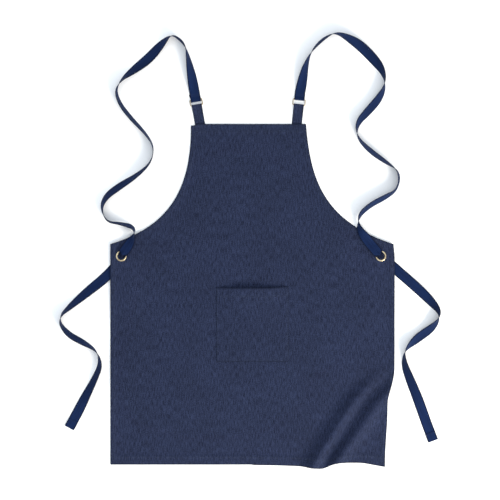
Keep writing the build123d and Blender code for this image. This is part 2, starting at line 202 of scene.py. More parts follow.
# %% Denim, face and reverse
face_dyes = (0.0038, 0.0064, 0.0215, 1), (0.0212, 0.0300, 0.0712, 1), (0.12, 0.15, 0.22, 1)
reverse_dyes = (0.13, 0.16, 0.23, 1), (0.22, 0.26, 0.34, 1), (0.52, 0.55, 0.60, 1)
face_flecks, reverse_flecks = 0.22, 0.60     # share of weft that shows in a fleck
# The colour of the painted shade along the cloth's rolled edges and under the pocket's lip.
rim_shade_colour = (0.004, 0.007, 0.020, 1)
twill_across, twill_along = 6.6, 4.2         # radians of the pattern in a millimetre
yarn_across = 11.5


def denim():
    """Warp-faced twill: deep and middle are the streaks' ends, pale is the weft."""
    material, tree, shader = new_material(
        "denim", Roughness=0.88, Sheen_Weight=0.07, Sheen_Roughness=0.45,
        Sheen_Tint=(0.62, 0.72, 1.0, 1.0), Specular_IOR_Level=0.12,
    )
    reverse = stored(tree, "reverse")
    deep, middle, pale = (
        mix(tree, reverse, face, back) for face, back in zip(face_dyes, reverse_dyes)
    )
    place = stretched(tree, 1, 1)
    across = add(tree, "ShaderNodeSeparateXYZ", {0: place}, out="X")
    along = add(tree, "ShaderNodeSeparateXYZ", {0: place}, out="Y")
    wobble = math(tree, "MULTIPLY", noise(tree, stretched(tree, 0.35, 0.35), 1.0), 1.6)
    slant = weighted(tree, (across, twill_across), (along, twill_along))
    twill = math(tree, "SINE", math(tree, "ADD", slant, wobble))
    yarn = math(tree, "SINE", math(tree, "MULTIPLY", across, yarn_across))
    weave = weighted(tree, (twill, 0.7), (yarn, 0.3))

    slub = noise(tree, stretched(tree, 0.48, 0.06), 1.0, detail=0.0)
    grain = noise(tree, stretched(tree, 0.52, 0.44), 1.0, detail=1.0)
    spun = noise(tree, stretched(tree, 1.85, 0.09), 1.0, detail=0.0)
    cloudy = noise(tree, stretched(tree, 0.012, 0.010), 1.0, detail=2.0)
    streak = weighted(tree, (slub, 0.26), (grain, 0.42), (spun, 0.32))
    streak = blend_range(tree, streak, 0.37, 0.63, 0.0, 1.0)
    colour = mix(tree, streak, deep, middle)
    valley = blend_range(tree, twill, -0.8, 0.5, 0.62, 1.12)
    colour = mix(tree, 1.0, colour, valley, "MULTIPLY")
    fleck_share = blend_range(tree, reverse, 0.0, 1.0, face_flecks, reverse_flecks)
    fleck = math(tree, "MULTIPLY", blend_range(tree, weave, -0.98, -0.62, 1.0, 0.0), fleck_share)
    colour = mix(tree, fleck, colour, pale)

    seam, edge = stored(tree, "seam"), stored(tree, "edge")
    beside = blend_range(tree, seam, 0.3, 4.5, 1.0, 0.0)
    pucker = noise(tree, stretched(tree, 0.26, 0.26), 1.0, detail=1.5)
    rubbed = math(tree, "MULTIPLY", beside, blend_range(tree, pucker, 0.45, 0.75, 0.0, 0.12))
    colour = mix(tree, rubbed, colour, pale)
    # Painted shade: within 3 mm of an edge the cloth darkens towards a near-black blue, where it
    # rolls over, and widest at the pocket's mouth, under its gaping lip.
    rim_shade = blend_range(tree, edge, 0.4, 3.0, 0.85, 0.0)
    colour = mix(tree, rim_shade, colour, rim_shade_colour)
    # Painted shade: the cloth darkens within 1.6 mm of a line of stitching, in the groove that the
    # thread pulls; the cloudy factor beside it is the cloth's own uneven tone.
    groove_shade = blend_range(tree, seam, 0.3, 1.6, 0.86, 1.0)
    shade = math(tree, "MULTIPLY", groove_shade, blend_range(tree, cloudy, 0.3, 0.7, 0.94, 1.06))
    tree.links.new(mix(tree, 1.0, colour, shade, "MULTIPLY"), shader.inputs["Base Color"])

    crumple = math(tree, "MULTIPLY", pucker, beside)
    relief = weighted(tree, (weave, 0.10), (streak, 0.08), (crumple, 1.4))
    bump = add(tree, "ShaderNodeBump", {"Height": relief, "Strength": 0.8, "Distance": 0.0006})
    tree.links.new(bump, shader.inputs["Normal"])
    return material


denim_cloth = denim()
print("denim, with its face and its reverse")

# %% [markdown]
# ## Webbing, thread and metal
# The straps are cotton webbing: hard-spun yarns packed in ribs across the tape, with a
# firm selvedge on each side that looks darker. Where a strap is bunched in an eyelet, that
# dark colour is spread over its pleats as painted shade. The thread is dyed to match the
# denim. The rings and eyelets are thin brass with a pale, slightly handled finish.

# %% Webbing
webbing_dyes = (0.0028, 0.0096, 0.040, 1), (0.0050, 0.0168, 0.067, 1)
selvedge_and_shade_colour = (0.0018, 0.0036, 0.014, 1)
rib_along, rib_across = 5.4, 6.6             # radians of the pattern in a millimetre


def webbing_material():
    material, tree, shader = new_material(
        "navy_webbing", Roughness=0.82, Sheen_Weight=0.05, Sheen_Roughness=0.35,
        Sheen_Tint=(0.55, 0.68, 1.0, 1.0), Specular_IOR_Level=0.10,
    )
    place = stretched(tree, 1, 2)
    across = add(tree, "ShaderNodeSeparateXYZ", {0: place}, out="X")
    along = add(tree, "ShaderNodeSeparateXYZ", {0: place}, out="Y")
    rib = math(tree, "SINE", math(tree, "MULTIPLY", along, rib_along))
    column = math(tree, "SINE", math(tree, "MULTIPLY", across, rib_across))
    basket = math(tree, "MULTIPLY", rib, column)
    weave = weighted(tree, (rib, 0.45), (basket, 0.55))
    uneven = noise(tree, stretched(tree, 0.9, 0.05), 1.0, detail=3.0)
    worn = noise(tree, stretched(tree, 0.05, 0.02), 1.0, detail=2.0)
    amount = weighted(tree, (uneven, 0.6), (worn, 0.4))
    dye = blend_range(tree, amount, 0.35, 0.68, 0.0, 1.0)
    colour = mix(tree, dye, *webbing_dyes)
    # Darker along the selvedges, and, where a strap is bunched in an eyelet, across its whole
    # width as painted shade in its pleats.
    selvedge_and_shade = blend_range(tree, stored(tree, "edge"), 0.7, 3.4, 0.85, 0.0)
    colour = mix(tree, selvedge_and_shade, colour, selvedge_and_shade_colour)
    shade = blend_range(tree, weave, -1.0, 0.6, 0.72, 1.1)
    tree.links.new(mix(tree, 1.0, colour, shade, "MULTIPLY"), shader.inputs["Base Color"])
    bump = add(tree, "ShaderNodeBump", {"Height": weave, "Strength": 0.7, "Distance": 0.00022})
    tree.links.new(bump, shader.inputs["Normal"])
    return material


# %% Thread and metal
thread_dyes = (0.012, 0.019, 0.050, 1), (0.021, 0.031, 0.072, 1)


def thread_material():
    material, tree, shader = new_material(
        "navy_thread", Roughness=0.7, Sheen_Weight=0.05, Specular_IOR_Level=0.15
    )
    place = add(tree, "ShaderNodeTexCoord", out="Object")
    dye = blend_range(tree, noise(tree, place, 260.0, detail=2.0), 0.35, 0.65, 0.0, 1.0)
    colour = mix(tree, dye, *thread_dyes)
    tree.links.new(colour, shader.inputs["Base Color"])
    ply = noise(tree, place, 2600.0, detail=1.0)
    bump = add(tree, "ShaderNodeBump", {"Height": ply, "Strength": 0.5, "Distance": 0.0001})
    tree.links.new(bump, shader.inputs["Normal"])
    return material


def brass_material(name, clean, dull, grain):
    """Brass, duller and rougher where it was handled. The grain is its specks' scale."""
    material, tree, shader = new_material(name, Metallic=1.0)
    place = add(tree, "ShaderNodeTexCoord", out="Object")
    handled = noise(tree, place, 90.0, detail=4.0, roughness=0.6)
    speck = noise(tree, place, grain, detail=2.0)
    tarnish = blend_range(tree, handled, 0.42, 0.68, 0.0, 1.0)
    tree.links.new(mix(tree, tarnish, clean, dull), shader.inputs["Base Color"])
    specks = blend_range(tree, speck, 0.3, 0.7, 0.20, 0.34)
    rough = math(tree, "ADD", specks, math(tree, "MULTIPLY", tarnish, 0.10))
    tree.links.new(rough, shader.inputs["Roughness"])
    bump = add(tree, "ShaderNodeBump", {"Height": speck, "Strength": 0.15, "Distance": 0.0001})
    tree.links.new(bump, shader.inputs["Normal"])
    return material


webbing = webbing_material()
thread = thread_material()
ring_brass = brass_material("ring_brass", (0.50, 0.41, 0.28, 1), (0.30, 0.23, 0.15, 1), 1500.0)
eyelet_brass = brass_material("eyelet_brass", (0.62, 0.52, 0.34, 1), (0.36, 0.28, 0.17, 1), 1200.0)
print("webbing, thread, ring brass and eyelet brass")

# %% [markdown]
# ## How the panel lies
# The panel could be draped by a simulation, but a nearly flat cloth barely drapes: what
# shows is that the hems hold it off the floor, that it climbs over the strap below each
# eyelet, and that two soft folds run out of its lower right corner. Each of these is a
# small rise over the floor, added to the others by one function. Everything that is sewn
# on asks the same function how high it lies, so that nothing floats or sinks.

# %% The outline of the panel
def armhole_line(side, count):
    """Points from the waist corner up to the bib's corner, along one armhole."""
    sign, reach = sides[side], armhole_reach[side]
    legs = np.array([
        (sign * side_x, waist_y),
        (sign * (side_x - reach), waist_y + armhole_slope * reach),
        (bib_corner[side] + sign * armhole_flare[side], bib_y - armhole_drop[side]),
        (bib_corner[side], bib_y),
    ])
    t = np.linspace(0, 1, count)[:, None]
    weights = ((1 - t) ** 3, 3 * t * (1 - t) ** 2, 3 * t * t * (1 - t), t**3)
    return sum(weight * leg for weight, leg in zip(weights, legs))


def along_line(line, distances):
    """Points at these distances along a line."""
    steps = np.linalg.norm(np.diff(line, axis=0), axis=1)
    run = np.concatenate([[0], np.cumsum(steps)])
    return np.stack([np.interp(distances, run, line[:, axis]) for axis in (0, 1)], axis=1)


edge_steps = np.array([
    0, 0.15, 0.5, 1.2, 2.0, 2.7, 4.6, 6.5, 7.1, 7.5, 7.9, 8.6, 9.3, 11, 14, 18,
]) * MM
wide_steps = np.array([
    0, 0.15, 0.5, 1.2, 2.0, 2.7, 6, 11, 15, 16.8, 17.3, 17.7, 18.1, 19, 20, 21.5, 25,
]) * MM
below_waist = 24 * MM           # where the skirt's rows crowd towards the waist corner


def edge_rows(side):
    """Where each row of the panel's mesh starts or ends, and how square the edge is."""
    sign = sides[side]
    armhole = armhole_line(side, armhole_count)
    reach = np.linalg.norm(np.diff(armhole, axis=0), axis=1).sum()
    skirt = np.concatenate([
        hem_y + wide_steps[:-1],
        np.linspace(hem_y + wide_steps[-1], waist_y - below_waist, 92, endpoint=False),
        np.linspace(waist_y - below_waist, waist_y, 12, endpoint=False),
    ])
    curve = np.concatenate([
        np.linspace(0, reach - wide_steps[-1], 112, endpoint=False),
        (reach - wide_steps)[::-1],
    ])
    rows = np.concatenate([
        np.stack([np.full(len(skirt), sign * side_x), skirt], axis=1),
        along_line(armhole, curve),
    ])
    heading = np.gradient(along_line(armhole, curve), axis=0)
    squareness = np.abs(heading[:, 1]) / np.linalg.norm(heading, axis=1)
    return rows, np.concatenate([np.ones(len(skirt)), squareness])


edge_line, squareness = {}, {}
for side in sides:
    edge_line[side], squareness[side] = edge_rows(side)
print(len(edge_line["left"]), "rows in the panel's mesh")


# %% Distances from the edges
def distance_to_line(x, y, line):
    """How far each place is from a line of points."""
    nearest = np.full(np.shape(x), 1.0)
    for (ax, ay), (bx, by) in zip(line[:-1], line[1:]):
        dx, dy = bx - ax, by - ay
        share = np.clip(((x - ax) * dx + (y - ay) * dy) / (dx * dx + dy * dy), 0, 1)
        nearest = np.minimum(nearest, np.hypot(x - ax - share * dx, y - ay - share * dy))
    return nearest


def edge_distances(x, y):
    """Distance from the narrow hems' edges and from the wide hems' edges."""
    narrow = np.minimum(*(distance_to_line(x, y, edge_line[side][::2]) for side in sides))
    return narrow, np.minimum(bib_y - y, y - hem_y)


# %% Rises over the floor
eyelet_place = {}
for side in sides:
    low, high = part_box(f"{side}_eyelet_grommet")
    eyelet_place[side] = (np.array(low) + np.array(high))[:2] / 2
strap_rise = 3.4 * MM
panel_sink, seam_dent = 1.2 * MM, 0.28 * MM   # of one layer below the hems, of a seam
fold_lean = 0.648               # the folds move this far sideways for each step up
folds = ((0.146, 0.0145, 18 * MM), (0.222, 0.017, 16 * MM))   # place, half width, height
waves = ((0.45, 19, 7, 0.4), (0.35, -11, 23, 1.9), (0.25, 37, -16, 4.1), (0.15, 9, 52, 2.7))


def over_straps(x, y):
    """The panel climbs over the straps that run out below it at the waist."""
    out = smoothstep(np.abs(x), side_x - 93 * MM, side_x - 47 * MM)
    return strap_rise * out * smoothstep(y, waist_y - 215 * MM, waist_y - 115 * MM)


def fold_place(x, y):
    """Where a point would come out on the hem if it slid along the folds."""
    bend = 0.016 * smoothstep(y, -0.30, -0.20)
    return x - fold_lean * (y - hem_y) - bend


def fold_strength(y):
    """The folds die out up the skirt."""
    return 1 - smoothstep(y, -0.315, -0.185)


def corner_folds(x, y):
    """Two soft folds that run into the hem at the lower right."""
    place = fold_place(x, y)
    rise = sum(high * np.exp(-(((place - at) / wide) ** 2) / 2) for at, wide, high in folds)
    return fold_strength(y) * rise


def wander(x, y):
    """Long shallow waves, as cloth has when it was folded and smoothed out again."""
    total = 0
    for height, across, along, turn in waves:
        total = total + height * MM * (1 + np.sin(across * x + along * y + turn))
    return total / 2


def panel_height(x, y):
    """Height of the top of the panel above the floor."""
    narrow, wide = edge_distances(x, y)
    inside = smoothstep(np.minimum(narrow - narrow_hem, wide - wide_hem), -0.4 * MM, 5 * MM)
    groove = np.minimum(np.abs(narrow - narrow_seam), np.abs(wide - wide_seam))
    dent = seam_dent * (1 - smoothstep(groove, 0.2 * MM, 1.4 * MM))
    flat = hem_stack + cloth - panel_sink * inside - dent
    return flat + over_straps(x, y) + corner_folds(x, y) + wander(x, y)


# %% Where the folds pull the cloth to
hem_pull_at = np.array([-60, 66, 121, 155, 179, 194, 210, 227, 290, 343]) * MM
hem_pull = np.array([0, -2.2, -4.2, -7.6, -11, -6.8, 1.2, 5.3, 4.0, -6.0]) * MM


def corners_moved(x, y):
    """The bib's left corner droops and the waist's right corner lies a little in."""
    droop = 4 * MM * smoothstep(-x, 0.128, 0.146) * smoothstep(y, bib_y - 70 * MM, bib_y)
    near_waist = smoothstep(y, waist_y - 34 * MM, waist_y)
    in_at_waist = 2.6 * MM * smoothstep(x, 0.27, side_x) * near_waist
    return in_at_waist, droop


def settled(x, y):
    """The folds take up cloth, so the corner beyond them lies further in."""
    place = fold_place(x, y)
    in_at_waist, droop = corners_moved(x, y)
    taken = smoothstep(place, 0.112, 0.243) * (1 - smoothstep(y, -0.295, -0.205))
    drawn = taken * (17 * MM + 6 * MM * smoothstep(-y, 0.31, 0.44))
    bank = np.interp(place, hem_pull_at, hem_pull)
    near = sum(
        np.interp(place + share * 9 * MM, hem_pull_at, hem_pull) for share in (-1, -0.5, 0.5, 1)
    )
    lifted = (bank + near) / 5 * np.exp(-(y - hem_y) / (70 * MM)) * (x > 0)
    return x - drawn - in_at_waist, y + lifted - droop


def on_panel(x, y, above=0.0):
    """Points on the settled panel, or this far above its top."""
    moved_x, moved_y = settled(x, y)
    return np.stack([moved_x, moved_y, panel_height(x, y) + above], axis=-1)


middle, waist = panel_height(np.array([0.0, 0.31]), np.array([0.0, 0.06]))
print(f"the panel's top lies {middle:.4f} m up in its middle and {waist:.4f} m at the waist")

# %% [markdown]
# ## The panel
# The mesh is a grid whose rows run from one edge to the other. Its columns crowd near
# the edges, where the cloth rolls over into its hem and the stitching pulls a groove.
# The top and the underside share their rim, so the sheet is closed and has a thickness.

# %% Close a grid of cloth
def cloth_sheet(
    name, x, y, top, edge, seam, roll, layer, move=settled, rim_shade=None, turned=False,
):
    """A closed sheet with these top heights, layer thick and rolled over at its edge.

    Its underside is the denim's reverse, or its face if the cloth is turned under.
    """
    rows, columns = x.shape
    near = np.clip(roll - edge, 0, roll)
    drop = roll - np.sqrt(roll * roll - near * near)
    thin = smoothstep(edge, 1.3 * roll, 2.0 * roll)
    upper = top - drop
    lower = top - (2 * roll - drop) * (1 - thin) - layer * thin
    moved_x, moved_y = move(x, y)
    inner = np.zeros((rows, columns), dtype=bool)
    inner[1:-1, 1:-1] = True
    points = np.concatenate([
        np.stack([moved_x.ravel(), moved_y.ravel(), upper.ravel()], axis=1),
        np.stack([moved_x[inner], moved_y[inner], lower[inner]], axis=1),
    ])
    above = np.arange(rows * columns).reshape(rows, columns)
    below = above.copy()
    below[inner] = rows * columns + np.arange(inner.sum())

    across = (x[0, 1] - x[0, 0], y[0, 1] - y[0, 0])
    along = (x[1, 0] - x[0, 0], y[1, 0] - y[0, 0])
    upward = across[0] * along[1] - across[1] * along[0] > 0
    if not upward:
        above, below = below, above

    def quads(index):
        corners = [index[:-1, :-1], index[:-1, 1:], index[1:, 1:], index[1:, :-1]]
        return np.stack(corners, axis=-1).reshape(-1, 4)

    faces = np.concatenate([quads(above), quads(below)[:, ::-1]])

    def both(values):
        return np.concatenate([values.ravel(), values[inner]])

    uv = np.stack([both(x) + 0.5, both(y) + 0.5], axis=1)
    reverse = np.zeros(len(points))
    reverse[rows * columns:] = 0.0 if turned else 1.0
    # The edge attribute places the denim's painted edge shade; a piece's own distances for it,
    # when given, take the place of the distances from the edge.
    return make_piece(
        name, points, faces, uv, denim_cloth, "denim",
        edge=both(edge if rim_shade is None else rim_shade) / MM, seam=both(seam) / MM, reverse=reverse,
    )


# %% Lay out the panel's grid
def panel_grid():
    """x and y of the panel's mesh, with its columns crowded near both edges."""
    left, right = edge_line["left"], edge_line["right"]
    from_left = left[:, :1] + edge_steps / squareness["left"][:, None]
    from_right = (right[:, :1] - edge_steps / squareness["right"][:, None])[:, ::-1]
    share = np.linspace(0, 1, 104)[1:-1]
    middle = from_left[:, -1:] * (1 - share) + from_right[:, :1] * share
    x = np.concatenate([from_left, middle, from_right], axis=1)
    across = (x - left[:, :1]) / (right[:, :1] - left[:, :1])
    return x, left[:, 1:] * (1 - across) + right[:, 1:] * across


panel_x, panel_y = panel_grid()
narrow, wide = edge_distances(panel_x, panel_y)
seam_distance = np.minimum(np.abs(narrow - narrow_seam), np.abs(wide - wide_seam))
panel = cloth_sheet(
    "panel", panel_x, panel_y, panel_height(panel_x, panel_y), np.minimum(narrow, wide),
    seam_distance, hem_stack * 0.75, cloth,
)
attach(panel, "apron")
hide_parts("body_panel")

# %% [markdown]
# ## Hems
# Each hem is the panel's own cloth turned under twice, so its face shows from below,
# dark against the paler reverse of the panel. The hems are strips that follow the
# edges, one to each hem, as they are sewn one by one.

# %% The hems
def hem_strip(name, line, inward, width):
    """A folded strip below the panel, that follows a line of the edge."""
    steps = np.array([1.0, 1.3, 1.9, 0.3 * width / MM, 0.6 * width / MM, 0.85 * width / MM]) * MM
    steps = np.concatenate([steps, [width - 0.5 * MM, width - 0.15 * MM, width]])
    x = line[:, :1] + inward[:, :1] * steps
    y = line[:, 1:] + inward[:, 1:] * steps
    from_fold = np.minimum(steps - steps[0], width - steps) + 0 * x
    ends = np.minimum(np.arange(len(x)), np.arange(len(x))[::-1])[:, None] * 2 * MM
    top = panel_height(x, y) - cloth - 0.02 * MM
    piece = cloth_sheet(
        f"{name}_fold", x, y, top, np.minimum(from_fold, ends), np.full(x.shape, 0.02),
        hem_stack * 0.49, hem_stack, turned=True,
    )
    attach(piece, "apron")
    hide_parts(name)
    return piece


def inward_of(line, sign):
    """Unit steps square to a line, towards the middle of the apron."""
    heading = np.gradient(line, axis=0)
    heading /= np.linalg.norm(heading, axis=1)[:, None]
    return np.stack([-sign * heading[:, 1], sign * heading[:, 0]], axis=1)


inset, side_hem_end = 1.2 * MM, 12 * MM
bottom = np.linspace((side_x - inset, hem_y), (inset - side_x, hem_y), 140)
hem_strip("bottom_hem", bottom, inward_of(bottom, -1), wide_hem)
bib_ends = (bib_corner["right"] - inset, bib_y), (bib_corner["left"] + inset, bib_y)
bib_edge = np.linspace(*bib_ends, 60)
hem_strip("bib_hem", bib_edge, inward_of(bib_edge, 1), wide_hem)
for side, sign in sides.items():
    low_end, high_end = hem_y + wide_hem, waist_y - side_hem_end
    edge = np.linspace((sign * side_x, low_end), (sign * side_x, high_end), 110)
    hem_strip(f"{side}_side_hem", edge, inward_of(edge, sign), narrow_hem)
    armhole = armhole_line(side, armhole_count)
    reach = np.linalg.norm(np.diff(armhole, axis=0), axis=1).sum()
    edge = along_line(armhole, np.linspace(3 * MM, reach - wide_hem, 120))
    hem_strip(f"{side}_armhole_hem", edge, inward_of(edge, sign), narrow_hem)

# %% [markdown]
# ## The pocket
# A patch pocket is a rectangle of the same denim with its raw edges turned under, sewn
# down on three sides. Its mouth has a deep hem, and it gapes a little, most in the
# middle. The gap is a shallow vault that fades towards the foot and the sides.

# %% The pocket and its hem
pocket_low, pocket_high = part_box("pocket")
pocket_half, pocket_foot, pocket_mouth = pocket_high.x, pocket_low.y, pocket_high.y
pocket_hem_depth = 22 * MM
pocket_seam = 2.0 * MM
mouth_gap = 9 * MM
pocket_turn = 1.6 * MM


def pocket_rise(x, y):
    """How far the top of the pocket stands above the panel."""
    out = np.clip(np.abs(x) / (pocket_half - 5 * MM), 0, 1)
    up = np.clip((y - pocket_foot) / (pocket_mouth - pocket_foot), 0, 1)
    vault = (1 - out * out) ** 1.4 * (0.35 * MM + mouth_gap * up**3)
    side = pocket_half - np.abs(x)
    seam = np.minimum(side, y - pocket_foot)
    puff = 0.5 * MM * smoothstep(seam, 2.5 * MM, 9 * MM)
    dent = 0.25 * MM * (1 - smoothstep(np.abs(seam - pocket_seam), 0.1 * MM, 0.9 * MM))
    return pocket_turn + vault + puff - dent


def pocket_sag(x, y):
    """The mouth hangs a little lower in the middle, where it gapes."""
    out = np.clip(np.abs(x + 12 * MM) / pocket_half, 0, 1)
    return 3.2 * MM * (1 - out**4) * smoothstep(y, pocket_mouth - 70 * MM, pocket_mouth)


def settled_pocket(x, y):
    moved_x, moved_y = settled(x, y)
    return moved_x, moved_y - pocket_sag(x, y)


def on_pocket(x, y, above=0.0):
    moved_x, moved_y = settled_pocket(x, y)
    height = panel_height(x, y) + pocket_rise(x, y) + above
    return np.stack([moved_x, moved_y, height], axis=-1)


side_steps = np.array([0, 0.15, 0.45, 0.8, 1.3, 1.7, 2.0, 2.3, 2.8, 4, 6, 9]) * MM
mouth_steps = np.array([0, 0.2, 0.6, 1.2, 2.2, 4, 8, 14, 20, 21.4, 21.8, 22.2, 22.6, 24]) * MM
half_row = pocket_half - side_steps
middle_x = np.linspace(-half_row[-1], half_row[-1], 46)[1:-1]
row_x = np.concatenate([-half_row, middle_x, half_row[::-1]])
column_y = np.concatenate([
    pocket_foot + side_steps,
    np.linspace(pocket_foot + side_steps[-1], pocket_mouth - mouth_steps[-1], 40)[1:-1],
    (pocket_mouth - mouth_steps)[::-1],
])
pocket_x, pocket_y = np.meshgrid(row_x, column_y)
from_foot = pocket_y - pocket_foot
from_side = np.minimum(pocket_half - np.abs(pocket_x), from_foot)
from_mouth = pocket_mouth - pocket_y
from_hem = np.abs(from_mouth - pocket_hem_depth)
pocket_dent = 0.3 * MM * (1 - smoothstep(from_hem, 0.1 * MM, 1.2 * MM))
pocket_top = panel_height(pocket_x, pocket_y) + pocket_rise(pocket_x, pocket_y) - pocket_dent
# The pocket's painted edge shade is thin along its sides, wider at its foot and widest at its
# mouth, where it paints the shadow under the gaping lip.
pocket = cloth_sheet(
    "patch_pocket", pocket_x, pocket_y, pocket_top, np.minimum(from_side, from_mouth),
    np.minimum(np.abs(from_side - pocket_seam), from_hem),
    pocket_turn / 2, cloth, settled_pocket,
    np.minimum(4 * from_side, np.minimum(1.3 * from_foot, 0.55 * from_mouth)),
)
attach(pocket, "apron")
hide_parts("pocket")

hem_x = np.linspace(4 * MM - pocket_half, pocket_half - 4 * MM, 60)
hem_drop = np.array([0.3, 0.6, 1.2, 5, 11, 17, 21.2, 21.8, 22]) * MM
turned_x, turned_y = np.meshgrid(hem_x, pocket_mouth - hem_drop)
under = panel_height(turned_x, turned_y) + pocket_rise(turned_x, turned_y) - cloth - 0.02 * MM
hem_ends = np.minimum(turned_x - hem_x[0], hem_x[-1] - turned_x)
below_mouth = pocket_mouth - hem_drop[0] - turned_y
above_fold = turned_y - pocket_mouth + hem_drop[-1]
hem_edge = np.minimum(hem_ends, np.minimum(below_mouth, above_fold))
turned = cloth_sheet(
    "pocket_mouth_hem", turned_x, turned_y, under, hem_edge, np.full(turned_x.shape, 9 * MM),
    cloth * 0.65, cloth * 1.3, settled_pocket, turned=True,
)
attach(turned, "apron")
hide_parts("pocket_hem")

# %% [markdown]
# ## Ribbons
# A tab, a sewn loop and a strap are all ribbons: a narrow strip that follows a line and
# has a width, a thickness and firm rounded edges. Where webbing is squeezed through an
# eyelet it can't get narrower, so it buckles into pleats, and the ribbon's section turns
# from a flat bar into a wave of the same length.

# %% The section of a ribbon
section_span = np.linspace(-1, 1, 15)
bunched_width = 16.5 * MM       # of a strap squeezed through an eyelet
far_from_seam = 9.0             # millimetres, too far for a seam to pucker the cloth or paint shade in its groove


def pleat_height(width, chord):
    """How high a wave of one and a half turns must be to fit this width in the chord."""
    heights = np.linspace(0, 6 * MM, 80)
    slope = 1.5 * pi * heights[:, None] * np.sin(1.5 * pi * np.linspace(-1, 1, 41))
    spans = np.hypot(chord / 2, slope).mean(axis=1) * 2
    return np.interp(width, spans, heights)


def ribbon(
    name, line, broad, width, thick, material, slot, chord=None, pleat=None, start=0.0,
):
    """A closed ribbon along a line, with its broad direction given at each point."""
    count = len(line)
    chord = np.full(count, width) if chord is None else chord
    pleat = np.zeros(count) if pleat is None else pleat
    ahead = np.gradient(line, axis=0)
    ahead /= np.linalg.norm(ahead, axis=1)[:, None]
    broad = broad - ahead * (broad * ahead).sum(axis=1)[:, None]
    broad /= np.linalg.norm(broad, axis=1)[:, None]
    up = np.cross(ahead, broad)

    flat = 1 - 0.9 * thick / width
    span = section_span * flat
    near = 1 - 0.27 * thick / width
    faces_span = np.concatenate([span, [near, 1, near], span[::-1], [-near, -1, -near]])
    half = thick / 2
    top, rounded = np.full(len(span), half), np.array([0.7, 0, -0.7]) * half
    lift = np.concatenate([top, rounded, -top, -rounded])
    wave = np.cos(1.5 * pi * faces_span)
    slope = -1.5 * pi * np.sin(1.5 * pi * faces_span)
    out = faces_span * chord[:, None] / 2
    rise = pleat[:, None] * wave
    tilt = np.arctan2(pleat[:, None] * slope, chord[:, None] / 2)
    out = out - np.sin(tilt) * lift
    rise = rise + np.cos(tilt) * lift
    points = line[:, None, :] + broad[:, None, :] * out[..., None]
    points = points + up[:, None, :] * rise[..., None]

    around = faces_span.size
    index = np.arange(count * around).reshape(count, around)
    after = np.roll(index, -1, axis=1)
    quads = np.stack([index[:-1], index[1:], after[1:], after[:-1]], axis=-1).reshape(-1, 4)
    faces = quads.tolist() + [index[0].tolist(), index[-1][::-1].tolist()]
    steps = np.linalg.norm(np.diff(line, axis=0), axis=1)
    run = start + np.concatenate([[0], np.cumsum(steps)])
    across = np.broadcast_to(faces_span * width / 2, (count, around))
    uv = np.stack([across.ravel() + 0.1, np.repeat(run, around) / 2], axis=1)
    # Painted shade: where the strap is bunched in an eyelet its edge distance shrinks towards
    # nothing, so the webbing's dark selvedge colour covers its pleats.
    opened = np.clip((chord - bunched_width) / (width - bunched_width), 0, 1)[:, None]
    edge = (1 - np.abs(np.broadcast_to(faces_span, (count, around)))) * width / 2 * opened
    return make_piece(
        name, points.reshape(-1, 3), faces, uv, material, slot,
        edge=edge.ravel() / MM, seam=np.full(count * around, far_from_seam),
    )


# %% [markdown]
# ## Tabs and rings
# Each tab is a folded strip of denim that goes round the lower bar of its ring and back,
# and is caught in the bib's hem. The rings are bent from brass wire.

# %% Where a tab and its ring lie
tab_lean = {"left": radians(-9.8), "right": radians(5.9)}
tab_root = {"left": -126.8 * MM, "right": 107.0 * MM}
tab_width, tab_reach, tab_sewn = 24.5 * MM, 45.5 * MM, 17 * MM
bar_height, bar_gap = 2.75 * MM, 14.5 * MM
wire = 2.5 * MM
ring_width, ring_bend = 29.5 * MM, 3 * MM


def beside_bib(side, along, across=0.0, height=0.0):
    """A point measured along and across a tab from the middle of its root."""
    lean = tab_lean[side]
    x = tab_root[side] + sin(lean) * along + cos(lean) * across
    y = bib_y + cos(lean) * along - sin(lean) * across
    return np.stack([x, y, height + 0 * x], axis=-1)


def fold_round(start, radius, sign, count=13):
    """Along and height of a half turn round a bar, from below it to above it."""
    angle = np.linspace(-pi / 2, pi / 2, count)
    return start + sign * radius * np.cos(angle), bar_height + radius * np.sin(angle)


def run_of(*parts):
    """One line from several runs of along and height, evenly close together."""
    along = np.concatenate([np.atleast_1d(part[0]) for part in parts])
    height = np.concatenate([np.atleast_1d(part[1]) for part in parts])
    steps = np.hypot(np.diff(along), np.diff(height))
    run = np.concatenate([[0], np.cumsum(steps)])
    even = np.linspace(0, run[-1], max(8, int(run[-1] / (0.5 * MM))))
    return np.interp(even, run, along), np.interp(even, run, height)


def sideways(side, count):
    """The tab's own sideways direction, once for each point."""
    lean = tab_lean[side]
    return np.tile([-cos(lean), sin(lean), 0.0], (count, 1))


# %% The tabs
tab_flat_end, flap_start, flap_end = 24 * MM, 26 * MM, 3.5 * MM
for side in sides:
    layer = cloth / 2
    turn = fold_round(tab_reach, bar_height - layer, 1)
    along, height = run_of(
        ([-tab_sewn, tab_flat_end], [layer, layer]), turn,
        ([flap_start, flap_end], [3 * layer, 3 * layer]),
    )
    tab = ribbon(
        f"{side}_denim_tab", beside_bib(side, along, 0.0, height),
        sideways(side, len(along)), tab_width, cloth, denim_cloth, "denim",
    )
    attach(tab, "apron")
    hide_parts(f"{side}_tab")


